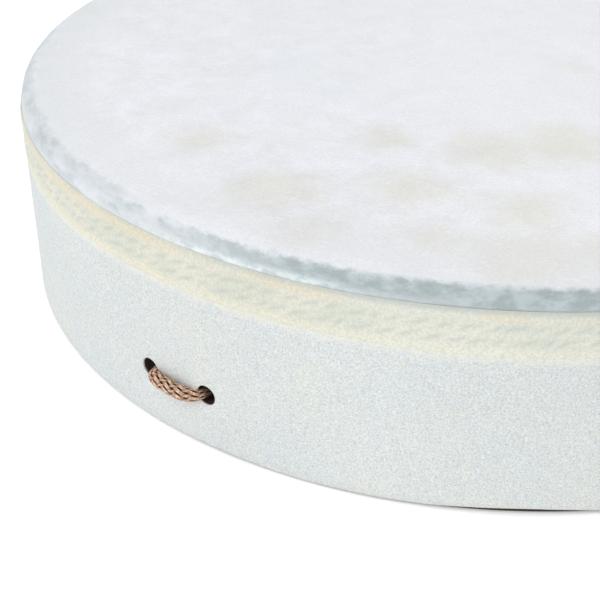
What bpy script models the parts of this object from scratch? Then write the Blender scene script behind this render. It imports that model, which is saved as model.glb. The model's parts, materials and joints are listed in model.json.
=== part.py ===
"""A frame drum: a round shell with a head stretched over it and a rope handle in its open back.

The drum stands on its open rim with its axis along +Z, the head on top and the origin at the
centre of the rim. The four arms of the rope handle lie along the X and Y axes, and the lashing
that binds them at the centre is the grip. Lengths are in metres.
"""

import math

import bmesh
import bpy
from mathutils import Vector

# Whole drum
HEIGHT = 0.0889
FLATS = 80
GAP = 0.0003

# Shell, a bent ring of resin-bonded wood fibre
SHELL_RADIUS = 0.2016
SHELL_WALL = 0.0063
RIM_CHAMFER = 0.0008

# Head, a film with a rounded collar and a skirt glued down the shell
FILM = 0.0004
COLLAR_RADIUS = 0.0075
SKIRT_BOTTOM = 0.0645

# Band that binds the skirt, and the covering below it
BAND_BOTTOM = 0.0635
BAND_TOP = 0.0803
BAND_THICKNESS = 0.0006
WRAP_BOTTOM = 0.0012
WRAP_THICKNESS = 0.0010

# Rope and its holes
ROPE_RADIUS = 0.0028
HOLE_RADIUS = 0.0040
HOLE_HEIGHT = 0.0228
HOLE_ANGLE = math.radians(3.85)
HOLE_SIDES = 20
ROPE_OFF_HOLE_CENTRE = 0.0007
LOOP_CLEARANCE = 0.0005
LOOP_BEND = 0.0033
STRAIGHT_END = 0.1880
RUN_STEPS = 9
BEND_STEPS = 4

# Grip, four square turns of rope lashed over the crossing arms
LASHING_TURNS = 4
TURN_PITCH = 0.0058
LASHING_CORNER = 0.0200
LASHING_ROUNDING = 0.0050
CORNER_STEPS = 5
ROUNDING_STEPS = 3
KNOT_RADIUS = 0.0085
TAIL_LENGTH = 0.0120

# Sizes that follow from those above
SKIRT_RADIUS = SHELL_RADIUS + GAP + FILM
COLLAR_CENTRE = (SKIRT_RADIUS - COLLAR_RADIUS, HEIGHT - COLLAR_RADIUS)
WRAP_RADIUS = SHELL_RADIUS + GAP + WRAP_THICKNESS
STRAND_OFFSET = ROPE_RADIUS + GAP / 2
CROSSING_RISE = ROPE_RADIUS + GAP / 2
FIRST_TURN = STRAND_OFFSET + 2 * ROPE_RADIUS + GAP
GRIP_REACH = FIRST_TURN + (LASHING_TURNS - 1) * TURN_PITCH + ROPE_RADIUS
GRIP_HALF_DEPTH = CROSSING_RISE + 3 * ROPE_RADIUS + GAP


def clear_scene():
    for thing in list(bpy.data.objects):
        bpy.data.objects.remove(thing, do_unlink=True)


def finish(name, colour, roughness):
    material = bpy.data.materials.new(name)
    material.use_nodes = True
    shader = material.node_tree.nodes["Principled BSDF"]
    shader.inputs["Base Color"].default_value = (*colour, 1.0)
    shader.inputs["Roughness"].default_value = roughness
    shader.inputs["Metallic"].default_value = 0.0
    return material


def placed(name, data, material):
    thing = bpy.data.objects.new(name, data)
    thing.data.materials.append(material)
    bpy.context.collection.objects.link(thing)
    return thing


def arc(centre, radius, start, end, steps):
    """Points along an arc in a turned profile, with angles in degrees from outwards to upwards."""
    points = []
    for step in range(steps + 1):
        angle = math.radians(start + (end - start) * step / steps)
        points.append(
            (centre[0] + radius * math.cos(angle), centre[1] + radius * math.sin(angle))
        )
    return points


def turned(name, profile, material, flats=FLATS):
    """Turns a profile of (radius, height) points round Z. It is closed unless it ends on the axis."""
    bm = bmesh.new()
    line = [bm.verts.new((radius, 0.0, height)) for radius, height in profile]
    edges = [bm.edges.new(pair) for pair in zip(line, line[1:])]
    if profile[0][0] > 0.0:
        edges.append(bm.edges.new((line[-1], line[0])))
    bmesh.ops.spin(
        bm,
        geom=line + edges,
        cent=(0.0, 0.0, 0.0),
        axis=(0.0, 0.0, 1.0),
        angle=math.tau,
        steps=flats,
        use_merge=True,
    )
    bmesh.ops.remove_doubles(bm, verts=bm.verts[:], dist=1e-6)
    bmesh.ops.recalc_face_normals(bm, faces=bm.faces[:])
    mesh = bpy.data.meshes.new(name)
    bm.to_mesh(mesh)
    bm.free()
    mesh.shade_smooth()
    mesh.set_sharp_from_angle(angle=math.radians(30))
    return placed(name, mesh, material)


def hole_cutter():
    """Eight round bars through the wall, two for each arm, each pointing at the drum's axis."""
    bm = bmesh.new()
    for quarter in range(4):
        for side in (-1, 1):
            angle = quarter * math.pi / 2 + side * HOLE_ANGLE
            made = bmesh.ops.create_cone(
                bm,
                cap_ends=True,
                segments=HOLE_SIDES,
                radius1=HOLE_RADIUS,
                radius2=HOLE_RADIUS,
                depth=4 * SHELL_WALL,
            )
            outwards = Vector((math.cos(angle), math.sin(angle), 0.0))
            bmesh.ops.transform(
                bm, matrix=outwards.to_track_quat("Z", "Y").to_matrix().to_4x4(), verts=made["verts"]
            )
            centre = outwards * (SHELL_RADIUS - SHELL_WALL / 2)
            centre.z = HOLE_HEIGHT
            bmesh.ops.translate(bm, vec=centre, verts=made["verts"])
    bmesh.ops.recalc_face_normals(bm, faces=bm.faces[:])
    mesh = bpy.data.meshes.new("rope_hole_cutter")
    bm.to_mesh(mesh)
    bm.free()
    cutter = bpy.data.objects.new("rope_hole_cutter", mesh)
    cutter.hide_render = True
    cutter.display_type = "WIRE"
    bpy.context.collection.objects.link(cutter)
    return cutter


def drilled(thing, cutter):
    cut = thing.modifiers.new("rope_holes", "BOOLEAN")
    cut.operation = "DIFFERENCE"
    cut.object = cutter
    return thing


def shell():
    outer_edge = arc(COLLAR_CENTRE, SHELL_RADIUS - COLLAR_CENTRE[0], 0, 82, 5)
    inside = SHELL_RADIUS - SHELL_WALL
    peak = outer_edge[-1][1]
    profile = [
        (inside + RIM_CHAMFER, 0.0),
        (SHELL_RADIUS - RIM_CHAMFER, 0.0),
        (SHELL_RADIUS, RIM_CHAMFER),
        *outer_edge,
        (inside, peak - RIM_CHAMFER),
        (inside, RIM_CHAMFER),
    ]
    return turned("shell", profile, finish("shell_fibre", (0.055, 0.040, 0.030), 0.65))


def drumhead():
    outside = arc(COLLAR_CENTRE, COLLAR_RADIUS, 90, 0, 6)
    underside = arc(COLLAR_CENTRE, COLLAR_RADIUS - FILM, 0, 90, 6)
    profile = [
        (0.0, HEIGHT),
        *outside,
        (SKIRT_RADIUS, SKIRT_BOTTOM),
        (SKIRT_RADIUS - FILM, SKIRT_BOTTOM),
        *underside,
        (0.0, HEIGHT - FILM),
    ]
    return turned("drumhead", profile, finish("head_film", (0.80, 0.80, 0.82), 0.50))


def head_band():
    inner = SKIRT_RADIUS + GAP
    outer = inner + BAND_THICKNESS
    profile = [(inner, BAND_BOTTOM), (outer, BAND_BOTTOM), (outer, BAND_TOP), (inner, BAND_TOP)]
    return turned("head_band", profile, finish("band_fabric", (0.78, 0.76, 0.64), 0.80))


def shell_wrap():
    inner = SHELL_RADIUS + GAP
    top = BAND_BOTTOM - GAP
    profile = [(inner, WRAP_BOTTOM), (WRAP_RADIUS, WRAP_BOTTOM), (WRAP_RADIUS, top), (inner, top)]
    return turned("shell_wrap", profile, finish("wrap_fabric", (0.76, 0.79, 0.79), 0.85))


def half_route(grip_height):
    """An arm's centreline from the grip to the middle of its outer loop, for an arm along +X."""
    loop_radius = WRAP_RADIUS + LOOP_CLEARANCE + ROPE_RADIUS
    through = HOLE_ANGLE - ROPE_OFF_HOLE_CENTRE / SHELL_RADIUS
    start = Vector((GRIP_REACH + 2 * GAP, STRAND_OFFSET, grip_height))
    end = Vector((STRAIGHT_END * math.cos(through), STRAIGHT_END * math.sin(through), HOLE_HEIGHT))
    route = [start.lerp(end, step / RUN_STEPS) for step in range(RUN_STEPS + 1)]
    bend_reach = loop_radius - LOOP_BEND
    bend_angle = through - math.asin(LOOP_BEND / bend_reach)
    first = through + math.pi / 2
    for step in range(BEND_STEPS + 1):
        angle = first + (bend_angle - first) * step / BEND_STEPS
        route.append(
            Vector(
                (
                    bend_reach * math.cos(bend_angle) + LOOP_BEND * math.cos(angle),
                    bend_reach * math.sin(bend_angle) + LOOP_BEND * math.sin(angle),
                    HOLE_HEIGHT,
                )
            )
        )
    for share in (0.5, 0.0):
        angle = bend_angle * share
        route.append(
            Vector((loop_radius * math.cos(angle), loop_radius * math.sin(angle), HOLE_HEIGHT))
        )
    return route


def rope_arm(name, quarter, grip_height, material):
    """Two strands from the grip out through a pair of holes, joined by the loop outside the wall."""
    there = half_route(grip_height)
    back = [Vector((point.x, -point.y, point.z)) for point in reversed(there[:-1])]
    route = there + back
    curve = bpy.data.curves.new(name, "CURVE")
    curve.dimensions = "3D"
    curve.twist_mode = "Z_UP"
    curve.bevel_depth = ROPE_RADIUS
    curve.bevel_resolution = 2
    curve.use_fill_caps = True
    spline = curve.splines.new("POLY")
    spline.points.add(len(route) - 1)
    for knot, point in zip(spline.points, route):
        knot.co = (*point, 1.0)
    arm = placed(name, curve, material)
    arm.rotation_euler.z = quarter * math.pi / 2
    return arm


def rope_arms(material):
    upper = HOLE_HEIGHT + CROSSING_RISE
    lower = HOLE_HEIGHT - CROSSING_RISE
    rope_arm("rope_arm_front", -1, lower, material)
    rope_arm("rope_arm_right", 0, upper, material)
    rope_arm("rope_arm_back", 1, lower, material)
    rope_arm("rope_arm_left", 2, upper, material)


def rounded_square(half, corner, height):
    """A ring of points round a square with round corners, at one height."""
    ring = []
    for quarter in range(4):
        for step in range(CORNER_STEPS + 1):
            angle = (quarter + step / CORNER_STEPS) * math.pi / 2
            side_x = 1 if quarter in (0, 3) else -1
            side_y = 1 if quarter in (0, 1) else -1
            x = side_x * (half - corner) + corner * math.cos(angle)
            y = side_y * (half - corner) + corner * math.sin(angle)
            ring.append((x, y, height))
    return ring


def grip_lashing(material):
    """The lashed turns as one closed block, flat where the arms meet it and rounded elsewhere."""
    flat = GRIP_HALF_DEPTH - LASHING_ROUNDING
    levels = []
    for step in range(ROUNDING_STEPS + 1):
        angle = math.pi / 2 * step / ROUNDING_STEPS
        inset = LASHING_ROUNDING * (1 - math.cos(angle))
        levels.append((inset, flat + LASHING_ROUNDING * math.sin(angle)))
    levels = [(inset, -height) for inset, height in reversed(levels)] + levels
    bm = bmesh.new()
    rings = []
    for inset, height in levels:
        ring = rounded_square(GRIP_REACH - inset, LASHING_CORNER - inset, height)
        rings.append([bm.verts.new(point) for point in ring])
    for lower, upper in zip(rings, rings[1:]):
        around = zip(lower, lower[1:] + lower[:1], upper[1:] + upper[:1], upper)
        for corners in around:
            bm.faces.new(corners)
    bm.faces.new(rings[0])
    bm.faces.new(rings[-1])
    bmesh.ops.recalc_face_normals(bm, faces=bm.faces[:])
    mesh = bpy.data.meshes.new("grip_lashing")
    bm.to_mesh(mesh)
    bm.free()
    mesh.shade_smooth()
    mesh.set_sharp_from_angle(angle=math.radians(30))
    lashing = placed("grip_lashing", mesh, material)
    lashing.location.z = HOLE_HEIGHT
    return lashing


def grip_knot(material):
    """The knot that stops the rope's end, at one corner of the lashing, with its short tail."""
    ball = arc((0.0, 0.0), KNOT_RADIUS, -90, 60, 8)[1:]
    neck = math.sqrt(KNOT_RADIUS**2 - ROPE_RADIUS**2)
    tip = KNOT_RADIUS + TAIL_LENGTH
    profile = [
        (0.0, -KNOT_RADIUS),
        *ball,
        (ROPE_RADIUS, neck),
        (ROPE_RADIUS, tip),
        (0.0, tip),
    ]
    knot = turned("grip_knot", profile, material, flats=16)
    corner = (GRIP_REACH - LASHING_CORNER) * math.sqrt(2) + LASHING_CORNER
    reach = (corner + KNOT_RADIUS + GAP) / math.sqrt(2)
    knot.location = (reach, reach, HOLE_HEIGHT)
    knot.rotation_euler = (0.0, math.pi / 2, math.pi / 4)
    return knot


def build():
    clear_scene()
    rope = finish("rope_braid", (0.36, 0.20, 0.12), 0.85)
    cutter = hole_cutter()
    drilled(shell(), cutter)
    drilled(shell_wrap(), cutter)
    drumhead()
    head_band()
    rope_arms(rope)
    grip_lashing(rope)
    grip_knot(rope)


build()
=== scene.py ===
"""The looks of the frame drum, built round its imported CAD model. Lengths are in metres."""

import json
import math

import bmesh
import bpy
import numpy as np
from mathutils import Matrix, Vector, noise

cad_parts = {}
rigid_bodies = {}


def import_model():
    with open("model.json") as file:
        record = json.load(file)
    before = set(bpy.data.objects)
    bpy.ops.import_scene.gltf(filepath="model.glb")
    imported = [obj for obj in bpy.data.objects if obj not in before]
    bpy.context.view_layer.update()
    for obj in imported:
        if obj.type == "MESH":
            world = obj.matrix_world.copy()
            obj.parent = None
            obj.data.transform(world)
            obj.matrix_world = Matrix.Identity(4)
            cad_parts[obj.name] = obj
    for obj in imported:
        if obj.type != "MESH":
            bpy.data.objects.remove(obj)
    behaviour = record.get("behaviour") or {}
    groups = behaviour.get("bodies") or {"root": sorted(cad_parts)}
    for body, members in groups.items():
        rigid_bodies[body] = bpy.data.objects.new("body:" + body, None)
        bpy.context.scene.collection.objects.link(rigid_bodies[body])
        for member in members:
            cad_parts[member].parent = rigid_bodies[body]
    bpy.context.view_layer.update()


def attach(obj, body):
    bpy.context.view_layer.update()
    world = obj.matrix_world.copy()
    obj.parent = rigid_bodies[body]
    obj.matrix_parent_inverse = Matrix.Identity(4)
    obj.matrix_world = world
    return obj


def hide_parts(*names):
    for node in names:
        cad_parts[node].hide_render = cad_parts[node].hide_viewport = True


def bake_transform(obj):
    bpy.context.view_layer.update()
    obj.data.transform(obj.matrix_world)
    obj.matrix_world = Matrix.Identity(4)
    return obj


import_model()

# Sizes repeated from part.py
HEIGHT = 0.0889
GAP = 0.0003
SHELL_RADIUS = 0.2016
SHELL_WALL = 0.0063
FILM = 0.0004
COLLAR_RADIUS = 0.0075
SKIRT_BOTTOM = 0.0645
BAND_BOTTOM = 0.0635
BAND_TOP = 0.0803
BAND_THICKNESS = 0.0006
WRAP_BOTTOM = 0.0012
WRAP_THICKNESS = 0.0010
ROPE_RADIUS = 0.0028
HOLE_RADIUS = 0.0040
HOLE_HEIGHT = 0.0228
HOLE_ANGLE = math.radians(3.85)
LASHING_TURNS = 4
TURN_PITCH = 0.0058
LASHING_CORNER = 0.0200
KNOT_RADIUS = 0.0085
TAIL_LENGTH = 0.0120

# Sizes that follow from them. The collar's arc has its centre at COLLAR_R and COLLAR_Z
SKIRT_RADIUS = SHELL_RADIUS + GAP + FILM
COLLAR_R = SKIRT_RADIUS - COLLAR_RADIUS
COLLAR_Z = HEIGHT - COLLAR_RADIUS
WRAP_RADIUS = SHELL_RADIUS + GAP + WRAP_THICKNESS
STRAND_OFFSET = ROPE_RADIUS + GAP / 2
CROSSING_RISE = ROPE_RADIUS + GAP / 2
FIRST_TURN = STRAND_OFFSET + 2 * ROPE_RADIUS + GAP
GRIP_REACH = FIRST_TURN + (LASHING_TURNS - 1) * TURN_PITCH + ROPE_RADIUS
LASHING_RISE = CROSSING_RISE + 2 * ROPE_RADIUS + GAP

# Braid of the rope: how far the rope advances in one turn of a strand, and the strands each way
CARRIERS = 8
BRAID_PITCH = 0.040
RINGS_PER_CROSSING = 5
# A strand's section, in half-widths across and depths outwards from its middle
STRAND_SECTION = ((-1.0, -0.15), (-0.60, 0.44), (0.0, 0.34), (0.60, 0.44), (1.0, -0.15), (0.0, -0.50))
STRAND_DEPTH = 0.00100
# Strands that lie on top wind one way, and narrow ones fill the grooves from below the other way:
# each set's half-width, the radius of its top and how far it swings in and out
STRAND_SETS = {1: (0.00077, 0.00280, 0.00014), -1: (0.00050, 0.00267, 0.00022)}
# How far below a strand's top its painted shade is darkest, and how far below the rope's face the core
# lies
SHADE_DEPTH = 0.00176
CORE_DEPTH = 0.00145
CORE_CORNERS = 10
# The share of the rope's girth that is left where a hole presses it
PRESSED_GIRTH = 0.79

# Routes: the step between their points, the lashing's tightest bend and the middle of its wide
# ones, its start and end in quarters of a turn from +X, and the coil that makes the knot
ROUTE_STEP = 0.0008
TIGHTEST_BEND = 0.0035
TURN_INSET = 0.00905
LASHING_START = 0.5
LASHING_END = 0.27
COIL_RADIUS = 0.0057
COIL_TURNS = 2
COIL_TO_TAIL = 0.0042

# The grid's cells round each rope hole: half their patch's angle and height, their number each way
# and the rings between the patch's border and the hole
PATCH_ANGLE = math.radians(2.05)
PATCH_HEIGHT = 0.0072
PATCH_CELLS = 10
HOLE_RINGS = 5
CELLS_BETWEEN_HOLES = 6
CELLS_BETWEEN_PAIRS = 96

# The height where the rows over the rope holes' patches start
ABOVE_HOLES = 0.0330

# The shell's edges: how far its two lowest rows are broken, and its inner top edge
EDGE_BREAK = (0.0007, 0.0002)
INNER_TOP_DROP = 0.0006
INNER_TOP_BREAK = 0.0004

# The uneven lower edge of the covering: its wave and its middle, and the one place where it stands
# higher, with that place's rise, angle and half-width
EDGE_WAVE = 0.0004
EDGE_SHIFT = -0.0003
EDGE_RISE = 0.0013
EDGE_RISE_ANGLE = -0.93
EDGE_RISE_WIDTH = 0.13

# The covering's face: how far it stays inside its CAD radius, how uneven it is, and how far it
# sinks at a hole's edge and at its lower edge
WRAP_INSET = 0.00008
WRAP_SOFTNESS = 0.00006
HOLE_EDGE_DROP = 0.00035
WRAP_EDGE_DROP = 0.0003

# The band: its columns and rows, its room over the skirt, how far its face stays inside its CAD
# radius, its two ridges, the length and depth of its strokes, its roughness, and its edges' tapers
BAND_COLUMNS = 1440
BAND_ROWS = 30
BAND_TO_SKIRT = 0.00003
BAND_INSET = 0.0003
TOP_RIDGE = 0.00020
LOW_RIDGE = 0.00022
STROKE_LENGTH = 0.0072
STROKE_DEPTH = 0.00022
BAND_ROUGHNESS = 0.00006
BAND_TOP_TAPER = (0.00002, 0.00012, 0.00030, 0.00054)
BAND_BOTTOM_TAPER = (0.00020, 0.00013, 0.00007, 0.00002)

# The film is drawn a little unevenly over this much of the head's edge: inwards by this much, with
# a slow swell and a fine ripple
UNEVEN_FILM = 0.012
FILM_INSET = 0.00012
FILM_SWELL = 0.00012
FILM_RIPPLE = 0.00005

# Camera: place, direction and lens in millimetres
CAMERA_PLACE = (0.2490, -0.4437, 0.2712)
CAMERA_DIRECTION = (-0.5300, 0.6634, -0.5283)
CAMERA_LENS = 71.1
SENSOR_WIDTH = 36.0

# Studio: the floor's half-size, how far it lies under the drum and its glow, the sky's strength at
# the horizon and overhead, and the key light with the height over the floor that it points at
FLOOR_SIZE = 30.0
FLOOR_DROP = 0.0001
FLOOR_GLOW = 0.18
SKY_LOW = 1.08
SKY_HIGH = 0.66
KEY_PLACE = (-0.30, -1.22, 1.25)
KEY_SIZE = 1.0
KEY_POWER = 9.0
KEY_AIM = 0.04

# The loop outside a pair of holes: place across, height off the covering and rise, in millimetres
LOOP_ROUTE = (
    (-11.75, -9.0, 0.0),
    (-11.70, -6.0, 0.0),
    (-11.60, -3.5, -0.3),
    (-11.20, -1.4, -0.7),
    (-10.20, 0.5, -0.9),
    (-8.40, 2.0, -0.7),
    (-6.00, 2.75, -0.3),
    (-2.60, 2.85, -0.4),
    (1.10, 2.9, -0.8),
    (4.40, 2.75, -0.9),
    (6.60, 2.1, -1.1),
    (8.40, 0.9, -1.4),
    (9.80, -0.4, -1.5),
    (10.90, -1.9, -1.3),
    (11.60, -4.2, -0.6),
    (11.75, -9.0, 0.0),
)


# ---------------------------------------------------------------- materials


class Nodes:
    """A short way to write a material's nodes."""

    def __init__(self, name):
        self.material = bpy.data.materials.new(name)
        self.material.use_nodes = True
        self.tree = self.material.node_tree
        self.shader = self.tree.nodes["Principled BSDF"]
        self.coordinates = self.tree.nodes.new("ShaderNodeTexCoord")

    def node(self, kind, **settings):
        made = self.tree.nodes.new(kind)
        for key, value in settings.items():
            setattr(made, key, value)
        return made

    def feed(self, socket, value):
        if isinstance(value, bpy.types.NodeSocket):
            self.tree.links.new(value, socket)
        elif isinstance(value, (tuple, list)) and len(value) == 3 and socket.type == "RGBA":
            socket.default_value = (*value, 1.0)
        else:
            socket.default_value = value

    def objects(self):
        return self.coordinates.outputs["Object"]

    def math(self, operation, a, b=0.0):
        made = self.node("ShaderNodeMath", operation=operation)
        for socket, value in zip(made.inputs, (a, b)):
            self.feed(socket, value)
        return made.outputs[0]

    def plus(self, a, b):
        return self.math("ADD", a, b)

    def times(self, a, b):
        return self.math("MULTIPLY", a, b)

    def parts(self):
        made = self.node("ShaderNodeSeparateXYZ")
        self.feed(made.inputs[0], self.objects())
        return made.outputs

    def joined(self, x, y, z):
        made = self.node("ShaderNodeCombineXYZ")
        for socket, value in zip(made.inputs, (x, y, z)):
            self.feed(socket, value)
        return made.outputs[0]

    def attribute(self, name):
        return self.node("ShaderNodeAttribute", attribute_name=name).outputs["Fac"]

    def noise(self, vector, scale, detail=2.0, roughness=0.5, distortion=0.0):
        made = self.node("ShaderNodeTexNoise")
        self.feed(made.inputs["Vector"], vector)
        made.inputs["Scale"].default_value = scale
        made.inputs["Detail"].default_value = detail
        made.inputs["Roughness"].default_value = roughness
        made.inputs["Distortion"].default_value = distortion
        return made.outputs["Fac"]

    def ramp(self, value, low, high, to_low=0.0, to_high=1.0, smooth=True):
        made = self.node("ShaderNodeMapRange")
        made.interpolation_type = "SMOOTHSTEP" if smooth else "LINEAR"
        self.feed(made.inputs["Value"], value)
        limits = {"From Min": low, "From Max": high, "To Min": to_low, "To Max": to_high}
        for key, number in limits.items():
            made.inputs[key].default_value = number
        return made.outputs["Result"]

    def mix(self, factor, a, b, blend="MIX"):
        made = self.node("ShaderNodeMix", data_type="RGBA", blend_type=blend)
        made.clamp_factor = True
        self.feed(made.inputs[0], factor)
        self.feed(made.inputs[6], a)
        self.feed(made.inputs[7], b)
        return made.outputs[2]

    def bump(self, height, strength, distance):
        made = self.node("ShaderNodeBump")
        made.inputs["Strength"].default_value = strength
        made.inputs["Distance"].default_value = distance
        self.feed(made.inputs["Height"], height)
        self.tree.links.new(made.outputs[0], self.shader.inputs["Normal"])

    def finish(self, colour, roughness, **uniform):
        self.feed(self.shader.inputs["Base Color"], colour)
        self.feed(self.shader.inputs["Roughness"], roughness)
        for key, value in uniform.items():
            self.shader.inputs[key.replace("_", " ")].default_value = value
        return self.material


def polar(n):
    """The angle round the drum in radians, the radius and the height, from object coordinates."""
    x, y, z = n.parts()
    radius = n.math("SQRT", n.plus(n.times(x, x), n.times(y, y)))
    angle = n.math("ARCTAN2", y, x)
    return angle, radius, z


# The angle from +X jumps at the back, on -X, so what depends on it fades out before this angle
BACK_ANGLE = -3.12

# The direction of the film's fibres, seen from above
FIBRE_X = 0.781
FIBRE_Y = 0.624

# Places on the head where the film is more see-through and looks beige, with their radii
HEAD_SPOTS = (
    (0.015, -0.165, 0.016),
    (0.040, -0.180, 0.010),
    (0.050, -0.135, 0.013),
    (0.075, -0.160, 0.009),
    (0.055, -0.090, 0.016),
    (0.075, -0.070, 0.017),
    (0.105, -0.155, 0.018),
    (0.090, -0.125, 0.013),
    (0.125, -0.135, 0.014),
    (-0.035, -0.148, 0.010),
    (0.020, -0.105, 0.009),
)


def head_film():
    n = Nodes("head_film")
    angle, radius, z = polar(n)
    x, y, _ = n.parts()
    along = n.plus(n.times(x, FIBRE_X), n.times(y, FIBRE_Y))
    across = n.plus(n.times(x, -FIBRE_Y), n.times(y, FIBRE_X))
    bent = n.plus(across, n.times(n.noise(n.objects(), 30.0, 2.0), 0.020))
    streaks = n.noise(n.joined(n.times(along, 190.0), n.times(bent, 620.0), 0.0), 1.0, 3.0, 0.65)
    hairs = n.noise(n.joined(n.times(along, 110.0), n.times(bent, 620.0), 3.3), 1.0, 1.0, 0.5)
    cloud = n.noise(n.objects(), 70.0, 6.0, 0.66, 0.4)
    broad = n.noise(n.objects(), 9.0, 2.0)
    fine = n.noise(n.objects(), 900.0, 2.0, 0.6)
    fibres = n.noise(n.objects(), 240.0, 4.0, 0.70, 3.0)
    mottle = n.plus(n.times(cloud, 0.60), n.times(streaks, 0.18))
    mottle = n.plus(mottle, n.times(fibres, 0.22))
    film = n.mix(n.ramp(mottle, 0.36, 0.63, smooth=False), (0.735, 0.748, 0.785), (0.865, 0.878, 0.925))
    film = n.mix(n.ramp(broad, 0.56, 0.36, 0.0, 0.35), film, (0.79, 0.83, 0.86))
    # Painted light: the film a little lighter over the side of the head where along is above zero
    film = n.mix(n.ramp(along, -0.10, 0.02, 0.0, 0.42), film, (0.895, 0.905, 0.945))
    # Beige spots, with soft ragged edges
    shift = n.noise(n.objects(), 80.0, 5.0, 0.7)
    spots = None
    for spot_x, spot_y, size in HEAD_SPOTS:
        off = n.node("ShaderNodeVectorMath", operation="DISTANCE")
        n.feed(off.inputs[0], n.joined(x, y, 0.0))
        off.inputs[1].default_value = (spot_x, spot_y, 0.0)
        ragged = n.plus(off.outputs["Value"], n.times(shift, 0.030))
        spot = n.ramp(ragged, size + 0.027, size + 0.003)
        spots = spot if spots is None else n.math("MAXIMUM", spots, spot)
    scattered = n.ramp(n.noise(n.objects(), 30.0, 2.0, 0.5), 0.60, 0.74, 0.0, 0.45)
    warm_side = n.ramp(along, -0.06, 0.02, 0.35, 1.0)
    spots = n.math("MAXIMUM", spots, n.times(scattered, warm_side))
    film = n.mix(n.times(spots, 0.95), film, (0.916, 0.894, 0.802), "MULTIPLY")
    # Warmer at the far side, and painted shade that greys it towards the edge, most of all on the left
    film = n.mix(n.ramp(along, 0.0, 0.16, 0.0, 0.12), film, (0.835, 0.815, 0.785))
    film = n.mix(n.ramp(radius, 0.160, 0.190, 0.0, 0.35), film, (0.735, 0.745, 0.765))
    away_from_back = n.ramp(angle, BACK_ANGLE, -2.70)
    left_rim_shade = n.times(n.ramp(radius, 0.168, 0.196), n.ramp(angle, -1.75, -2.25))
    left_rim_shade = n.times(left_rim_shade, away_from_back)
    left_rim_shade = n.times(left_rim_shade, n.ramp(cloud, 0.40, 0.60, 0.15, 0.75))
    film = n.mix(left_rim_shade, film, (0.685, 0.735, 0.755))
    # White hairs and fibres
    film = n.mix(n.ramp(hairs, 0.66, 0.78, 0.0, 0.30), film, (0.92, 0.93, 0.95))
    film = n.mix(n.ramp(fibres, 0.56, 0.70, 0.0, 0.45), film, (0.92, 0.93, 0.955))
    # The angle round the collar's arc, 0 at its lower end, made ragged by wisps
    wisp_place = n.joined(n.times(angle, 30.0), n.times(z, 240.0), n.times(radius, 240.0))
    wisps = n.noise(wisp_place, 1.0, 5.0, 0.68)
    over_arc = n.math("SUBTRACT", z, COLLAR_Z)
    arc_angle = n.math("ARCTAN2", over_arc, n.math("SUBTRACT", radius, COLLAR_R))
    raggedness = n.ramp(angle, -1.40, -1.05, 0.72, 0.42)
    arc_angle = n.plus(arc_angle, n.times(n.math("SUBTRACT", wisps, 0.5), raggedness))
    film = n.mix(n.ramp(fine, 0.62, 0.30, 0.0, 0.26), film, (0.56, 0.58, 0.62))
    # Painted shade over the collar's rounded edge
    film = n.mix(n.ramp(arc_angle, 1.45, 1.00, 0.0, 0.48), film, (0.655, 0.675, 0.71))
    # The dark shell shows through where the film is drawn over its rounded edge, and painted shade darkens
    # the collar further, most of all on the right, which is turned from the light
    left = n.times(n.ramp(angle, -1.55, -1.85), away_from_back)
    upper = n.times(n.ramp(arc_angle, 1.62, 0.70), left)
    upper = n.math("MAXIMUM", n.ramp(arc_angle, 1.02, 0.66), upper)
    lower = n.ramp(arc_angle, -0.16, 0.30, 0.72, 1.0)
    right = n.times(n.ramp(angle, -1.26, -1.02), n.ramp(angle, 3.1, 0.6))
    patch_place = n.joined(
        n.times(n.math("DIVIDE", x, radius), 13.0),
        n.times(n.math("DIVIDE", y, radius), 13.0),
        n.times(arc_angle, 1.3),
    )
    patches = n.noise(patch_place, 1.0, 2.0, 0.5)
    faint = n.ramp(patches, 0.36, 0.64, 0.40, 0.76)
    strength = n.ramp(angle, -1.70, -1.32, 0.30, 1.0, smooth=False)
    strength = n.math("MAXIMUM", strength, faint)
    strength = n.math("MINIMUM", strength, n.ramp(angle, 2.6, 0.8, 0.35, 1.0))
    shade = n.math("MAXIMUM", lower, right)
    shade = n.times(n.times(shade, upper), strength)
    collar = n.mix(n.ramp(wisps, 0.38, 0.64), (0.335, 0.386, 0.402), (0.452, 0.512, 0.532))
    film = n.mix(shade, film, collar)
    # A pale strip under it on the left, and painted shade in a dark line where it meets the band on the
    # right
    pale = n.times(n.ramp(arc_angle, 0.06, -0.06), n.ramp(patches, 0.44, 0.64, 0.0, 0.15))
    pale_place = n.times(n.ramp(angle, -1.68, -1.52), n.ramp(angle, -1.18, -1.34, 0.0, 0.85))
    pale = n.math("MAXIMUM", pale, n.times(n.ramp(arc_angle, 0.34, 0.0), pale_place))
    pale = n.times(pale, n.ramp(wisps, 0.40, 0.58, 0.15, 1.0))
    film = n.mix(n.times(pale, n.math("SUBTRACT", 1.0, right)), film, (0.72, 0.80, 0.80))
    band_junction_shade = n.ramp(z, BAND_TOP + 0.0009, BAND_TOP + 0.0002)
    film = n.mix(n.times(band_junction_shade, n.times(right, 0.5)), film, (0.36, 0.40, 0.34))
    n.bump(n.plus(n.times(streaks, 0.5), n.times(fine, 0.5)), 0.20, 0.0004)
    return n.finish(film, n.ramp(cloud, 0.3, 0.7, 0.42, 0.60), Specular_IOR_Level=0.35)


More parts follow.
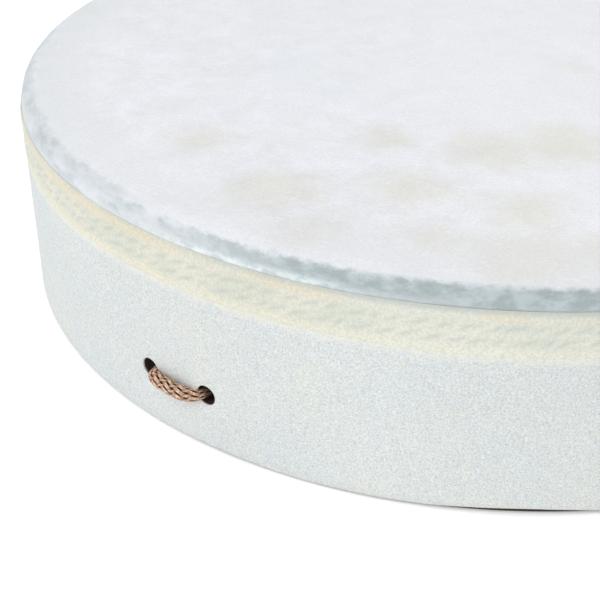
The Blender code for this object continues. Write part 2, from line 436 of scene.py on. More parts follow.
def band_fabric():
    n = Nodes("band_fabric")
    angle, _, z = polar(n)
    ridge_tone = n.attribute("band_tone")
    fibre = n.noise(n.objects(), 1100.0, 3.0, 0.72)
    cloud = n.noise(n.objects(), 60.0, 2.0)
    patches = n.noise(n.objects(), 28.0, 3.0, 0.6)
    base = n.mix(n.ramp(cloud, 0.35, 0.65), (0.646, 0.668, 0.592), (0.720, 0.716, 0.632))
    golden_place = n.times(n.ramp(angle, -2.12, -1.90), n.ramp(angle, -1.48, -1.62))
    golden = n.math("MAXIMUM", golden_place, n.ramp(patches, 0.44, 0.64, 0.10, 0.80))
    top_half = n.ramp(z, 0.0700, 0.0740)
    pale = n.mix(top_half, (0.755, 0.757, 0.668), (0.690, 0.698, 0.640))
    gold = n.mix(top_half, (0.765, 0.742, 0.608), (0.730, 0.665, 0.515))
    ridge = n.mix(golden, pale, gold)
    colour = n.mix(ridge_tone, base, ridge)
    colour = n.mix(n.ramp(fibre, 0.60, 0.34, 0.0, 0.42), colour, (0.46, 0.48, 0.43))
    colour = n.mix(n.ramp(fibre, 0.58, 0.74, 0.0, 0.45), colour, (0.86, 0.86, 0.80))
    colour = n.mix(n.times(n.attribute("band_dash"), 0.55), colour, (0.47, 0.51, 0.47))
    # Painted shade along its top edge, more on the right, and a little painted shade all over on the left
    top_edge_shade = n.ramp(z, BAND_TOP - 0.0024, BAND_TOP - 0.0002)
    shading = n.ramp(angle, -1.75, -1.15, 0.16, 0.62)
    shading = n.times(shading, n.ramp(angle, 3.1, 1.0, 0.26, 1.0))
    colour = n.mix(n.times(top_edge_shade, shading), colour, (0.42, 0.47, 0.46))
    left = n.times(n.ramp(angle, -1.10, -1.45), n.ramp(angle, BACK_ANGLE, -2.60))
    colour = n.mix(left, colour, (0.955, 0.945, 0.925), "MULTIPLY")
    n.bump(fibre, 0.6, 0.0005)
    return n.finish(colour, 0.85, Specular_IOR_Level=0.25)


def wrap_fabric():
    n = Nodes("wrap_fabric")
    speck = n.noise(n.objects(), 1500.0, 4.0, 0.80)
    tint = n.noise(n.objects(), 420.0, 4.0, 0.70)
    cloud = n.noise(n.objects(), 16.0, 4.0, 0.65)
    angle, _, z = polar(n)
    # Soft zones and finer tints of cream and blue, then dark and light specks
    base = n.mix(n.ramp(cloud, 0.35, 0.65), (0.640, 0.677, 0.680), (0.676, 0.700, 0.690))
    zones = n.noise(n.objects(), 45.0, 3.0, 0.6)
    base = n.mix(n.ramp(zones, 0.50, 0.68, 0.0, 0.40), base, (0.702, 0.710, 0.645))
    base = n.mix(n.ramp(zones, 0.48, 0.32, 0.0, 0.35), base, (0.625, 0.680, 0.710))
    base = n.mix(n.ramp(tint, 0.50, 0.66, 0.0, 0.36, smooth=False), base, (0.712, 0.712, 0.610))
    base = n.mix(n.ramp(tint, 0.50, 0.36, 0.0, 0.34, smooth=False), base, (0.605, 0.680, 0.715))
    base = n.mix(n.ramp(speck, 0.50, 0.34, 0.0, 0.72, smooth=False), base, (0.40, 0.435, 0.435))
    base = n.mix(n.ramp(speck, 0.52, 0.68, 0.0, 0.80, smooth=False), base, (0.88, 0.90, 0.89))
    # Greyer at its lower edge, cream next to the band, and a little darker on the left with painted shade
    edge = n.times(n.ramp(z, 0.0050, 0.0014), n.ramp(tint, 0.40, 0.60, 0.10, 0.40))
    base = n.mix(edge, base, (0.55, 0.56, 0.54))
    near_band = n.ramp(z, BAND_BOTTOM - 0.0040, BAND_BOTTOM)
    near_band = n.times(near_band, n.ramp(tint, 0.42, 0.60, 0.30, 0.85))
    base = n.mix(near_band, base, (0.775, 0.770, 0.680))
    left = n.times(n.ramp(angle, -1.15, -1.50), n.ramp(angle, BACK_ANGLE, -2.60))
    base = n.mix(left, base, (0.945, 0.948, 0.955), "MULTIPLY")
    n.bump(speck, 0.55, 0.0005)
    return n.finish(base, 0.9, Specular_IOR_Level=0.2)


def shell_fibre():
    n = Nodes("shell_fibre")
    angle, radius, z = polar(n)
    # Grain that runs round the drum
    stretched = n.joined(n.times(angle, 12.0), n.times(radius, 900.0), n.times(z, 500.0))
    grain = n.noise(stretched, 1.0, 3.0, 0.65)
    flecks = n.noise(n.objects(), 700.0, 2.0, 0.7)
    base = n.mix(n.ramp(grain, 0.35, 0.68), (0.022, 0.014, 0.010), (0.075, 0.048, 0.030))
    base = n.mix(n.ramp(flecks, 0.60, 0.75, 0.0, 0.5), base, (0.13, 0.09, 0.06))
    n.bump(n.plus(grain, flecks), 0.35, 0.0005)
    return n.finish(base, n.ramp(grain, 0.3, 0.7, 0.55, 0.75), Specular_IOR_Level=0.3)


def rope_braid():
    n = Nodes("rope_braid")
    _, radius, _ = polar(n)
    lift = n.attribute("lift")
    tone = n.attribute("tone")
    filaments = n.math("SINE", n.times(n.attribute("across"), 11.0))
    fibre = n.noise(n.objects(), 2200.0, 3.0, 0.7)
    yarn = n.mix(tone, (0.58, 0.350, 0.225), (0.80, 0.540, 0.395))
    # Painted shade down each strand's sides, and a painted highlight along its top
    yarn = n.mix(n.ramp(lift, 0.99, 0.90, 0.0, 0.55), yarn, (0.41, 0.210, 0.108))
    yarn = n.mix(n.ramp(lift, 0.93, 1.00, 0.0, 0.62), yarn, (1.0, 0.800, 0.630))
    yarn = n.mix(n.ramp(filaments, 0.2, -0.9, 0.0, 0.42), yarn, (0.43, 0.232, 0.134))
    # Painted highlights on scattered fibres, then darker fibres
    yarn = n.mix(n.ramp(fibre, 0.53, 0.65, 0.0, 0.95), yarn, (1.0, 0.93, 0.80))
    yarn = n.mix(n.ramp(fibre, 0.47, 0.30, 0.0, 0.65), yarn, (0.30, 0.138, 0.066))
    # Painted shade in the gaps between the strands and on the core
    colour = n.mix(n.ramp(lift, 0.93, 0.74), yarn, (0.066, 0.018, 0.003))
    # Painted shade where it bends through the shell's wall
    in_wall_shade = n.ramp(radius, WRAP_RADIUS + 0.0002, WRAP_RADIUS - 0.0022)
    in_wall_shade = n.times(in_wall_shade, n.ramp(radius, SHELL_RADIUS - 0.0110, SHELL_RADIUS - 0.0070))
    colour = n.mix(n.times(in_wall_shade, 0.85), colour, (0.045, 0.021, 0.010))
    n.bump(n.plus(fibre, n.times(filaments, 0.3)), 0.5, 0.0003)
    return n.finish(colour, 0.78, Specular_IOR_Level=0.3)


def floor_paper():
    n = Nodes("floor_paper")
    speck = n.noise(n.objects(), 300.0, 2.0)
    colour = n.mix(speck, (0.985, 0.985, 0.985), (1.0, 1.0, 1.0))
    n.shader.inputs["Emission Color"].default_value = (1.0, 1.0, 1.0, 1.0)
    return n.finish(colour, 0.9, Specular_IOR_Level=0.1, Emission_Strength=FLOOR_GLOW)


MATERIALS = {
    "shell_fibre": shell_fibre(),
    "wrap_fabric": wrap_fabric(),
    "head_film": head_film(),
    "band_fabric": band_fabric(),
    "rope_braid": rope_braid(),
}


# ---------------------------------------------------------------- mesh helpers


def piece(name, points, faces, slot, sharp):
    """A mesh with the material of its slot, smooth except at edges sharper than the angle in degrees."""
    mesh = bpy.data.meshes.new(name)
    mesh.from_pydata([tuple(map(float, point)) for point in points], [], faces)
    mesh.validate()
    mesh.shade_smooth()
    mesh.set_sharp_from_angle(angle=math.radians(sharp))
    made = bpy.data.objects.new(name, mesh)
    made.data.materials.append(MATERIALS[slot])
    bpy.context.collection.objects.link(made)
    return made


def point_values(made, name, values):
    """A number at each point of the mesh, for its material to read."""
    layer = made.data.attributes.new(name, "FLOAT", "POINT")
    layer.data.foreach_set("value", np.asarray(values, dtype=np.float32))


def closed_sheet(outer, inner, faces):
    """A solid from two matching sheets of points, joined all round their free edges."""
    count = len(outer)
    points = list(outer) + list(inner)
    # A dictionary, so that the edges keep their order
    edges = {edge: True for face in faces for edge in zip(face, face[1:] + face[:1])}
    solid = list(faces) + [tuple(count + corner for corner in reversed(face)) for face in faces]
    for a, b in edges:
        if (b, a) not in edges:
            solid.append((b, a, count + a, count + b))
    return points, solid


def ring_angles():
    """Angles round the drum, closer together at the rope holes, and each hole's first column and angle."""
    angles = []
    patches = []
    for quarter in range(4):
        middle = quarter * math.pi / 2
        edges = (
            (-HOLE_ANGLE - PATCH_ANGLE, -HOLE_ANGLE + PATCH_ANGLE, PATCH_CELLS),
            (-HOLE_ANGLE + PATCH_ANGLE, HOLE_ANGLE - PATCH_ANGLE, CELLS_BETWEEN_HOLES),
            (HOLE_ANGLE - PATCH_ANGLE, HOLE_ANGLE + PATCH_ANGLE, PATCH_CELLS),
            (HOLE_ANGLE + PATCH_ANGLE, math.pi / 2 - HOLE_ANGLE - PATCH_ANGLE, CELLS_BETWEEN_PAIRS),
        )
        for index, (start, end, cells) in enumerate(edges):
            if index in (0, 2):
                patches.append((len(angles), middle + (start + end) / 2))
            angles.extend(middle + start + (end - start) * cell / cells for cell in range(cells))
    return angles, patches


def drilled_sheet(heights_below, heights_above):
    """A grid of (angle, height, drop, row) round the drum with a round opening at each rope hole.

    The drop is 1 at a hole's edge and fades to 0 round it. Points inside the grid have no row."""
    angles, patches = ring_angles()
    low = HOLE_HEIGHT - PATCH_HEIGHT
    heights = list(heights_below)
    first_row = len(heights)
    heights += [low + 2 * PATCH_HEIGHT * row / PATCH_CELLS for row in range(PATCH_CELLS + 1)]
    last_row = len(heights) - 1
    heights += list(heights_above)
    columns = len(angles)
    points = [(angle, height, 0.0, row) for row, height in enumerate(heights) for angle in angles]
    in_patch = {start + cell for start, _ in patches for cell in range(PATCH_CELLS)}
    faces = []
    for row in range(len(heights) - 1):
        for column in range(columns):
            if first_row <= row < last_row and column in in_patch:
                continue
            right = (column + 1) % columns
            low_start = row * columns
            high_start = low_start + columns
            faces.append((low_start + column, low_start + right, high_start + right, high_start + column))
    for start, middle in patches:
        border = []
        for step in range(PATCH_CELLS):
            border.append((start + step, first_row))
        for step in range(PATCH_CELLS):
            border.append((start + PATCH_CELLS, first_row + step))
        for step in range(PATCH_CELLS):
            border.append((start + PATCH_CELLS - step, last_row))
        for step in range(PATCH_CELLS):
            border.append((start, last_row - step))
        border = [row * columns + column % columns for column, row in border]
        rings = [border]
        for ring in range(1, HOLE_RINGS + 1):
            share = 1 - (1 - ring / HOLE_RINGS) ** 1.5
            row_points = []
            for corner in border:
                angle, height, _, _ = points[corner]
                off_angle = (angle - middle + math.pi) % math.tau - math.pi
                across = off_angle * SHELL_RADIUS
                up = height - HOLE_HEIGHT
                to_hole = HOLE_RADIUS / math.hypot(across, up)
                x = across + (to_hole * across - across) * share
                y = up + (to_hole * up - up) * share
                row_points.append(len(points))
                points.append((middle + x / SHELL_RADIUS, HOLE_HEIGHT + y, share, None))
            rings.append(row_points)
        for outside, inside in zip(rings, rings[1:]):
            total = len(outside)
            for index in range(total):
                after = (index + 1) % total
                faces.append((outside[index], outside[after], inside[after], inside[index]))
    return points, faces


def rows(start, end, count):
    """Evenly spaced numbers, with both ends."""
    return [start + (end - start) * step / count for step in range(count + 1)]


def turned(name, profile, slot, columns, wave, sharp):
    """A profile of (radius, height) points turned round Z, which starts and ends on the axis."""
    points = []
    faces = []
    rings = []
    for radius, height in profile:
        if radius == 0.0:
            rings.append([len(points)])
            points.append((0.0, 0.0, height))
            continue
        ring = []
        for column in range(columns):
            angle = math.tau * column / columns
            r = wave(angle, radius, height)
            ring.append(len(points))
            points.append((r * math.cos(angle), r * math.sin(angle), height))
        rings.append(ring)
    for lower, upper in zip(rings, rings[1:]):
        for column in range(columns):
            right = (column + 1) % columns
            if len(lower) == 1:
                faces.append((lower[0], upper[right], upper[column]))
            elif len(upper) == 1:
                faces.append((lower[column], lower[right], upper[0]))
            else:
                faces.append((lower[column], lower[right], upper[right], upper[column]))
    return piece(name, points, faces, slot, sharp)


def arc(centre, radius, start, end, steps):
    """Points on an arc, between two angles in degrees."""
    made = []
    for step in range(steps + 1):
        angle = math.radians(start + (end - start) * step / steps)
        made.append((centre[0] + radius * math.cos(angle), centre[1] + radius * math.sin(angle)))
    return made


def facing_out(made):
    """The piece with all of its faces turned outwards."""
    bm = bmesh.new()
    bm.from_mesh(made.data)
    bmesh.ops.recalc_face_normals(bm, faces=bm.faces[:])
    bm.to_mesh(made.data)
    bm.free()
    return made


# ---------------------------------------------------------------- shell, wrap, band, head


def shell():
    """The wood-fibre ring, with a rounded top under the collar and its lower edges broken."""
    inside = SHELL_RADIUS - SHELL_WALL
    top = arc((COLLAR_R, COLLAR_Z), SHELL_RADIUS - COLLAR_R, 0, 82, 9)
    top_start = top[0][1]
    top_rise = top[-1][1] - INNER_TOP_DROP - top_start
    below = [0.0, 0.0004, 0.0011, 0.0040, 0.0080, 0.0120]
    above = rows(ABOVE_HOLES, COLLAR_Z - 0.002, 14) + [height for _, height in top]
    points, faces = drilled_sheet(below, above)
    row_count = len(below) + PATCH_CELLS + 1 + len(above)
    first_top_row = row_count - len(top)
    outer = []
    inner = []
    for angle, height, _, row in points:
        broken = 0.0 if row is None or row >= len(EDGE_BREAK) else EDGE_BREAK[row]
        outer_radius = SHELL_RADIUS - broken
        inner_radius = inside + broken
        inner_height = height
        if row is not None and row >= first_top_row:
            step = row - first_top_row
            outer_radius = top[step][0]
            inner_height = top_start + top_rise * step / (len(top) - 1)
        if row == row_count - 1:
            inner_radius = inside + INNER_TOP_BREAK
        outer.append((outer_radius * math.cos(angle), outer_radius * math.sin(angle), height))
        inner.append((inner_radius * math.cos(angle), inner_radius * math.sin(angle), inner_height))
    solid = closed_sheet(outer, inner, faces)
    made = facing_out(piece("drum_shell", *solid, "shell_fibre", 40.0))
    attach(made, "drum")
    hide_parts("shell")


def uneven_edge(angle):
    """How much higher or lower the covering's lower edge is at one place round the drum."""
    wave = noise.noise(Vector((math.cos(angle) * 6, math.sin(angle) * 6, 8.3)))
    away = (angle - EDGE_RISE_ANGLE + math.pi) % math.tau - math.pi
    return EDGE_WAVE * wave + EDGE_SHIFT + EDGE_RISE * math.exp(-((away / EDGE_RISE_WIDTH) ** 2))


def shell_wrap():
    """The covering, from just over the shell's lower edge to just inside the band's lower edge."""
    below = [WRAP_BOTTOM, WRAP_BOTTOM + 0.0003, 0.0030, 0.0060, 0.0090, 0.0120]
    above = rows(ABOVE_HOLES, BAND_BOTTOM - GAP - 0.0004, 16) + [BAND_BOTTOM + 0.0001]
    points, faces = drilled_sheet(below, above)
    inner_radius = SHELL_RADIUS + GAP
    outer = []
    inner = []
    for angle, height, drop, row in points:
        place = Vector((math.cos(angle) * 40, math.sin(angle) * 40, height * 200))
        radius = WRAP_RADIUS - WRAP_INSET + WRAP_SOFTNESS * noise.noise(place)
        radius -= HOLE_EDGE_DROP * max(0.0, drop - 0.75) / 0.25
        if row == 0:
            radius -= WRAP_EDGE_DROP
        if row in (0, 1):
            height += uneven_edge(angle)
        outer.append((radius * math.cos(angle), radius * math.sin(angle), height))
        inner.append((inner_radius * math.cos(angle), inner_radius * math.sin(angle), height))
    solid = closed_sheet(outer, inner, faces)
    made = facing_out(piece("wrap_cover", *solid, "wrap_fabric", 40.0))
    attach(made, "drum")
    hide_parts("shell_wrap")


def band_relief(angle, height):
    """How far the band's face stands out, and its cream tone and dash shade, at one place."""
    share = (height - BAND_BOTTOM) / (BAND_TOP - BAND_BOTTOM)
    wobble = noise.noise(Vector((math.cos(angle) * 9, math.sin(angle) * 9, 1.7)))
    place = share + 0.02 * wobble
    top = math.exp(-(((place - 0.87) / 0.10) ** 2))
    bottom = math.exp(-(((place - 0.08) / 0.105) ** 2))
    dash = 0.0
    for row, centre in enumerate((0.62, 0.34)):
        along = angle * SKIRT_RADIUS / STROKE_LENGTH
        along += 0.5 * row - 4.0 * (place - centre)
        along += 0.5 * noise.noise(Vector((math.cos(angle) * 30, math.sin(angle) * 30, 5.1 + row)))
        beat = 0.5 + 0.5 * math.cos(math.tau * along)
        within = math.exp(-(((place - centre) / 0.085) ** 2))
        dash = max(dash, within * beat**1.5)
    rough = noise.noise(Vector((math.cos(angle) * 160, math.sin(angle) * 160, height * 800)))
    relief = TOP_RIDGE * top + LOW_RIDGE * bottom - STROKE_DEPTH * dash + BAND_ROUGHNESS * rough
    tone = max(0.95 * top, 0.90 * bottom)
    return relief, tone, dash


def head_band():
    """The band, with two raised ridges and slanting strokes pressed between them."""
    inside = SKIRT_RADIUS + BAND_TO_SKIRT
    heights = rows(BAND_BOTTOM, BAND_TOP, BAND_ROWS)
    tapers = BAND_BOTTOM_TAPER + (0.0,) * (len(heights) - 8) + BAND_TOP_TAPER
    angles = [math.tau * column / BAND_COLUMNS for column in range(BAND_COLUMNS)]
    points = []
    tones = []
    dashes = []
    for height, taper in zip(heights, tapers):
        for angle in angles:
            relief, tone, dash = band_relief(angle, height)
            radius = SKIRT_RADIUS + GAP + BAND_THICKNESS - BAND_INSET + relief - taper
            points.append((radius * math.cos(angle), radius * math.sin(angle), height))
            tones.append(tone)
            dashes.append(dash)
    for height in (BAND_TOP, BAND_BOTTOM):
        for angle in angles:
            points.append((inside * math.cos(angle), inside * math.sin(angle), height))
            tones.append(0.5)
            dashes.append(0.0)
    faces = []
    total = len(heights) + 2
    for row in range(total):
        low = row * BAND_COLUMNS
        high = (row + 1) % total * BAND_COLUMNS
        for column in range(BAND_COLUMNS):
            right = (column + 1) % BAND_COLUMNS
            faces.append((low + column, low + right, high + right, high + column))
    made = piece("skirt_band", points, faces, "band_fabric", 60.0)
    point_values(made, "band_tone", tones)
    point_values(made, "band_dash", dashes)
    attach(made, "drum")
    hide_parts("head_band")


def drum_head():
    """The film: playing surface, collar and skirt, with its underside."""

    def wave(angle, radius, height):
        if radius < COLLAR_R - UNEVEN_FILM or height < BAND_TOP:
            return radius
        out = min(1.0, (radius - COLLAR_R + UNEVEN_FILM) / UNEVEN_FILM)
        swell = noise.noise(Vector((math.cos(angle) * 7, math.sin(angle) * 7, 2.2)))
        fine = noise.noise(Vector((math.cos(angle) * 45, math.sin(angle) * 45, height * 90)))
        return radius - out * (FILM_INSET + FILM_SWELL * swell + FILM_RIPPLE * fine)

    outside = arc((COLLAR_R, COLLAR_Z), COLLAR_RADIUS, 90, 0, 16)
    underside = arc((COLLAR_R, COLLAR_Z), COLLAR_RADIUS - FILM, 0, 90, 10)
    flat = [(radius, HEIGHT) for radius in rows(0.012, COLLAR_R - 0.003, 22)]
    below = [(radius, HEIGHT - FILM) for radius in reversed(rows(0.03, COLLAR_R - 0.003, 10))]
    profile = [
        (0.0, HEIGHT),
        *flat,
        *outside,
        (SKIRT_RADIUS, BAND_TOP - 0.001),
        (SKIRT_RADIUS, SKIRT_BOTTOM),
        (SKIRT_RADIUS - FILM, SKIRT_BOTTOM),
        *underside,
        *below,
        (0.0, HEIGHT - FILM),
    ]
    made = facing_out(turned("film_head", profile, "head_film", 480, wave, 50.0))
    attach(made, "drum")
    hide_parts("drumhead")


# ---------------------------------------------------------------- rope


def evenly(route, step):
    """The route with points about one step apart, and its length."""
    route = np.asarray(route, dtype=float)
    gaps = np.linalg.norm(np.diff(route, axis=0), axis=1)
    route = route[np.r_[True, gaps > 1e-7]]
    along = np.r_[0.0, np.cumsum(np.linalg.norm(np.diff(route, axis=0), axis=1))]
    count = max(4, int(round(along[-1] / step)))
    wanted = np.linspace(0.0, along[-1], count + 1)
    points = np.stack([np.interp(wanted, along, route[:, axis]) for axis in range(3)], axis=1)
    return points, along[-1]


def softened(route, passes):
    """The route with its bends eased, and its two ends in place."""
    route = np.array(route, dtype=float)
    for _ in range(passes):
        route[1:-1] = (route[:-2] + 2 * route[1:-1] + route[2:]) / 4
    return route


def frames_along(route, upright, first=None):
    """Two side directions at each point, kept upright or carried along without twist from the first."""
    tangents = np.gradient(route, axis=0)
    tangents /= np.linalg.norm(tangents, axis=1)[:, None]
    if upright:
        ups = np.tile([0.0, 0.0, 1.0], (len(route), 1))
        ups -= (ups * tangents).sum(1)[:, None] * tangents
        ups /= np.linalg.norm(ups, axis=1)[:, None]
        return ups, np.cross(tangents, ups)
    ups = np.zeros_like(route)
    if first is None:
        first = np.array([0.0, 0.0, 1.0])
    for index, tangent in enumerate(tangents):
        first = first - first.dot(tangent) * tangent
        first = first / np.linalg.norm(first)
        ups[index] = first
    return ups, np.cross(tangents, ups)


def tube_faces(start, rings, corners):
    """The faces of a closed tube, whose points are rings of corners from the start on."""
    faces = []
    for ring in range(rings - 1):
        low = start + ring * corners
        high = low + corners
        for corner in range(corners):
            after = (corner + 1) % corners
            faces.append((low + corner, low + after, high + after, high + corner))
    last = start + (rings - 1) * corners
    faces.append(tuple(start + corner for corner in reversed(range(corners))))
    faces.append(tuple(last + corner for corner in range(corners)))
    return faces


def braided(name, route, upright=False, seed=0, girth=None, first=None):
    """A braided rope along a route: strands that cross over and under each other round a core.

    Returns the piece and the side direction at its end, for the next piece to start with."""
    length = evenly(route, ROUTE_STEP)[1]
    crossings = max(2, round(length / (BRAID_PITCH / CARRIERS)))
    centres, _ = evenly(route, length / (crossings * RINGS_PER_CROSSING))
    ups, sides = frames_along(centres, upright, first)
    rings = len(centres)
    share = np.arange(rings) / RINGS_PER_CROSSING
    turn = share * math.tau / CARRIERS
    squeeze = np.ones(rings) if girth is None else girth(centres)
    corners = len(STRAND_SECTION)
    highest = max(y for _, y in STRAND_SECTION) * STRAND_DEPTH
    rng = np.random.default_rng(100 + seed)
    points = []
    faces = []
    lifts = []
    tones = []
    acrosses = []
    count = 0
    for way, (width, top, swing) in STRAND_SETS.items():
        rise = way * np.cos(math.tau * share)
        centre_radius = top - highest - swing + swing * rise
        for carrier in range(CARRIERS):
            base = way * turn + math.tau * carrier / CARRIERS
            shade = rng.uniform(0.15, 0.85)
            block = np.zeros((rings, corners, 3))
            lift = np.zeros((rings, corners))
            for corner, (x, y) in enumerate(STRAND_SECTION):
                radius = (centre_radius + y * STRAND_DEPTH) * squeeze
                angle = base + x * width / centre_radius
                out = (radius * np.cos(angle))[:, None] * ups
                block[:, corner] = centres + out + (radius * np.sin(angle))[:, None] * sides
                # How high the point stands on its strand, which the material paints as shade or highlight
                lift[:, corner] = 1 - (top - radius / squeeze) / SHADE_DEPTH
            faces += tube_faces(count, rings, corners)
            count += rings * corners
            points.append(block.reshape(-1, 3))
            lifts.append(lift.reshape(-1))
            ripple = 0.12 * np.sin(share * 2.1 + carrier * 1.7 + way)
            tones.append(np.repeat(np.clip(shade + ripple, 0, 1), corners))
            acrosses.append(np.tile([x for x, _ in STRAND_SECTION], rings))
    # The core, with every other ring, which its lift of 0 paints in the gaps' darkest shade
    kept = np.arange(0, rings, 2)
    if kept[-1] != rings - 1:
        kept = np.r_[kept, rings - 1]
    core = np.zeros((len(kept), CORE_CORNERS, 3))
    radius = ((ROPE_RADIUS - CORE_DEPTH) * squeeze[kept])[:, None]
    for corner in range(CORE_CORNERS):
        angle = math.tau * corner / CORE_CORNERS
        out = radius * math.cos(angle) * ups[kept]
        core[:, corner] = centres[kept] + out + radius * math.sin(angle) * sides[kept]
    faces += tube_faces(count, len(kept), CORE_CORNERS)
    points.append(core.reshape(-1, 3))
    for values in (lifts, tones, acrosses):
        values.append(np.zeros(len(kept) * CORE_CORNERS))
    made = piece(name, np.concatenate(points), faces, "rope_braid", 80.0)
    point_values(made, "lift", np.concatenate(lifts))
    point_values(made, "tone", np.concatenate(tones))
    point_values(made, "across", np.concatenate(acrosses))
    return made, ups[-1]


def smooth_through(corners, steps):
    """A smooth curve through all of the points: a Catmull-Rom spline."""
    corners = np.array(corners, dtype=float)
    before = 2 * corners[0] - corners[1]
    after = 2 * corners[-1] - corners[-2]
    padded = np.concatenate([[before], corners, [after]])
    made = []
    for a, b, c, d in zip(padded, padded[1:], padded[2:], padded[3:]):
        square = 2 * a - 5 * b + 4 * c - d
        cube = 3 * b - a - 3 * c + d
        for step in range(steps):
            t = step / steps
            made.append(0.5 * (2 * b + (c - a) * t + square * t**2 + cube * t**3))
    made.append(corners[-1])
    return made


def arm_route(grip_height):
    """The centreline of an arm along +X: out along one strand, round the loop and back."""
    loop = []
    for across, off, rise in LOOP_ROUTE:
        radius = WRAP_RADIUS + off / 1000
        angle = across / 1000 / WRAP_RADIUS
        loop.append([radius * math.cos(angle), radius * math.sin(angle), HOLE_HEIGHT + rise / 1000])
    loop = smooth_through(loop, 8)
    strands = []
    for side, end in ((-1, loop[0]), (1, loop[-1])):
        inside = rows(0.0, GRIP_REACH - 0.002, 20)
        strand = [np.array([x, side * STRAND_OFFSET, grip_height]) for x in inside]
        near = np.array([GRIP_REACH, side * STRAND_OFFSET, grip_height])
        strand += [near + (end - near) * step for step in rows(0.01, 0.99, 90)]
        strands.append(strand)
    return strands[0] + loop + strands[1][::-1]


def squeezed_in_holes(centres):
    """The rope is pressed thinner in a hole, most of all 1 mm inside the covering's face."""
    off = np.hypot(centres[:, 0], centres[:, 1]) - WRAP_RADIUS
    away = np.where(off > -0.001, (off + 0.001) / 0.0024, (-0.001 - off) / 0.012)
    away = np.clip(away, 0.0, 1.0)
    return PRESSED_GIRTH + (1 - PRESSED_GIRTH) * away * away * (3 - 2 * away)


def rope_arm(side, quarter, grip_height):
    """One doubled arm with its loop, turned by quarters from +X."""
    route = softened(evenly(arm_route(grip_height), ROUTE_STEP)[0], 10)
    turn = quarter * math.pi / 2
    cos, sin = round(math.cos(turn)), round(math.sin(turn))
    spun = np.stack(
        [route[:, 0] * cos - route[:, 1] * sin, route[:, 0] * sin + route[:, 1] * cos, route[:, 2]],
        axis=1,
    )
    made, _ = braided("rope_" + side, spun, upright=True, seed=quarter, girth=squeezed_in_holes)
    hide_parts("rope_arm_" + side)
    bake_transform(made)


def turn_point(reach, spot):
    """A place on one lashing turn, where spot runs by 4 in a turn through the sides and corners.

    Whole numbers are the middles of the sides: 0 on +X and 2 on -X pass over the upper arms, and
    1 on +Y and 3 on -Y pass under the lower ones."""
    bend = max(TIGHTEST_BEND, reach - TURN_INSET)
    straight = reach - bend
    quarter_arc = bend * math.pi / 2
    side = straight / (2 * straight + quarter_arc)
    quarter = math.floor(spot)
    share = spot - quarter
    if share < side:
        x, y = reach, share / side * straight
        fall = 0.0
    elif share > 1 - side:
        x, y = (1 - share) / side * straight, reach
        fall = 1.0
    else:
        fall = (share - side) / (1 - 2 * side)
        angle = fall * math.pi / 2
        x = straight + bend * math.cos(angle)
        y = straight + bend * math.sin(angle)
    rise = LASHING_RISE * (1 - 2 * eased(fall))
    if quarter % 2:
        rise = -rise
    turn = (quarter % 4) * math.pi / 2
    cos, sin = round(math.cos(turn)), round(math.sin(turn))
    return np.array([x * cos - y * sin, x * sin + y * cos, HOLE_HEIGHT + rise])


def eased(share):
    share = min(1.0, max(0.0, share))
    return share * share * (3 - 2 * share)


def lashing_route():
    """Four turns from the inside outwards, with each shift to the next turn at the +X +Y corner.

    The rope comes out of the +X arm, and leaves the last turn before the corner for the knot."""
    route = [np.array([FIRST_TURN, STRAND_OFFSET, HOLE_HEIGHT + CROSSING_RISE])]
    for spot in rows(LASHING_START, 4 * LASHING_TURNS + LASHING_END, 240 * LASHING_TURNS):
        shifts = sum(eased(spot - 4 * turn) for turn in range(LASHING_TURNS + 1))
        route.append(turn_point(FIRST_TURN + TURN_PITCH * (shifts - 1), spot))
    return route


def knot_route(start):
    """From the lashing's end into a coil round the corner's diagonal, and out along it as the tail."""
    out = np.array([1.0, 1.0, 0.0]) / math.sqrt(2)
    side = np.array([-1.0, 1.0, 0.0]) / math.sqrt(2)
    up = np.array([0.0, 0.0, 1.0])
    corner = (GRIP_REACH - LASHING_CORNER) * math.sqrt(2) + LASHING_CORNER
    near_end = corner + GAP
    coil_start = near_end + ROPE_RADIUS
    coil_end = near_end + 2 * KNOT_RADIUS - ROPE_RADIUS
    centre = np.array([0.0, 0.0, HOLE_HEIGHT])

    def wound(turns, radius, reach):
        angle = math.tau * turns
        return centre + out * reach + radius * (math.sin(angle) * side + math.cos(angle) * up)

    coil = [start, (start + wound(0.0, COIL_RADIUS, coil_start)) / 2 + 0.0004 * (out + up)]
    for share in rows(0.0, 1.0, 32):
        coil.append(wound(COIL_TURNS * share, COIL_RADIUS, coil_start + (coil_end - coil_start) * share))
    for share in rows(0.25, 1.0, 3):
        turns = COIL_TURNS + 0.45 * share
        coil.append(wound(turns, COIL_RADIUS * (1 - eased(share)), coil_end + COIL_TO_TAIL * share))
    tail_start = coil_end + COIL_TO_TAIL
    tail_end = near_end + 2 * KNOT_RADIUS + TAIL_LENGTH
    for share in (0.3, 0.65, 1.0):
        coil.append(centre + out * (tail_start + (tail_end - tail_start) * share))
    return smooth_through(coil, 10)[1:]


def grip():
    """The lashing and the knot, which are one length of rope."""
    bound = lashing_route()
    bound_length = evenly(bound, ROUTE_STEP)[1]
    whole, whole_length = evenly(bound + knot_route(bound[-1]), ROUTE_STEP)
    whole = softened(whole, 6)
    split = round(bound_length / whole_length * (len(whole) - 1))
    turns, side_direction = braided("lashing_turns", whole[: split + 1], seed=10)
    knot, _ = braided("end_knot", whole[split:], seed=10, first=side_direction)
    for made, node in ((turns, "grip_lashing"), (knot, "grip_knot")):
        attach(made, "grip")
        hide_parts(node)


# ---------------------------------------------------------------- build

shell()
shell_wrap()
head_band()
drum_head()
rope_arm("front", -1, HOLE_HEIGHT - CROSSING_RISE)
rope_arm("right", 0, HOLE_HEIGHT + CROSSING_RISE)
rope_arm("back", 1, HOLE_HEIGHT - CROSSING_RISE)
rope_arm("left", 2, HOLE_HEIGHT + CROSSING_RISE)
grip()


# ---------------------------------------------------------------- floor, light, camera


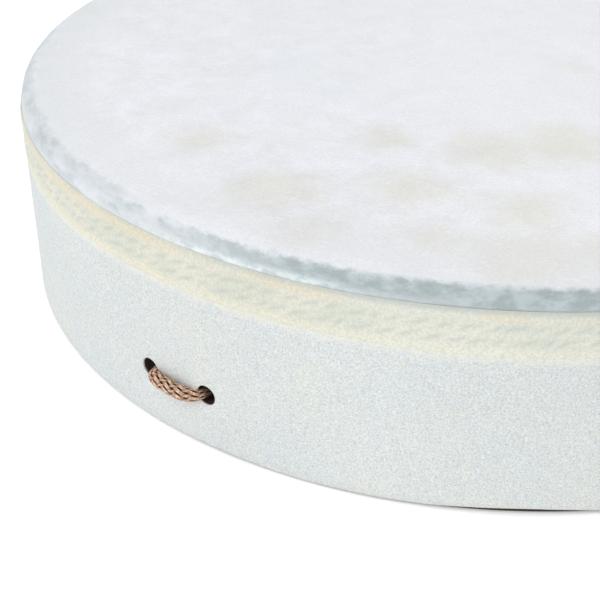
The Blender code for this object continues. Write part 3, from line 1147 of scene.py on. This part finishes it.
def studio():
    """Floor, sky, key light and camera."""
    corners = [(x * FLOOR_SIZE, y * FLOOR_SIZE, 0) for x, y in ((-1, -1), (1, -1), (1, 1), (-1, 1))]
    mesh = bpy.data.meshes.new("floor")
    mesh.from_pydata(corners, [], [(0, 1, 2, 3)])
    floor = bpy.data.objects.new("floor", mesh)
    floor.data.materials.append(floor_paper())
    bpy.context.collection.objects.link(floor)
    floor.location.z = -FLOOR_DROP

    world = bpy.data.worlds.new("studio")
    world.use_nodes = True
    tree = world.node_tree
    background = tree.nodes["Background"]
    place = tree.nodes.new("ShaderNodeTexCoord")
    axes = tree.nodes.new("ShaderNodeSeparateXYZ")
    level = tree.nodes.new("ShaderNodeMapRange")
    tree.links.new(place.outputs["Generated"], axes.inputs[0])
    tree.links.new(axes.outputs[2], level.inputs["Value"])
    limits = {"From Min": 0.1, "From Max": 1.0, "To Min": SKY_LOW, "To Max": SKY_HIGH}
    for key, value in limits.items():
        level.inputs[key].default_value = value
    tree.links.new(level.outputs["Result"], background.inputs["Strength"])
    background.inputs["Color"].default_value = (1.0, 1.0, 1.0, 1.0)
    bpy.context.scene.world = world

    light = bpy.data.lights.new("key", "AREA")
    light.shape = "RECTANGLE"
    light.size = KEY_SIZE
    light.size_y = KEY_SIZE
    light.energy = KEY_POWER
    lamp = bpy.data.objects.new("key", light)
    lamp.location = KEY_PLACE
    aim = Vector((0, 0, KEY_AIM)) - Vector(KEY_PLACE)
    lamp.rotation_euler = aim.to_track_quat("-Z", "Y").to_euler()
    bpy.context.collection.objects.link(lamp)

    camera = bpy.data.objects.new("camera", bpy.data.cameras.new("camera"))
    camera.location = CAMERA_PLACE
    camera.rotation_euler = Vector(CAMERA_DIRECTION).to_track_quat("-Z", "Y").to_euler()
    camera.data.lens = CAMERA_LENS
    camera.data.sensor_width = SENSOR_WIDTH
    camera.data.clip_start = 0.01
    camera.data.clip_end = 50.0
    bpy.context.collection.objects.link(camera)
    scene = bpy.context.scene
    scene.camera = camera
    scene.view_settings.view_transform = "Standard"


studio()
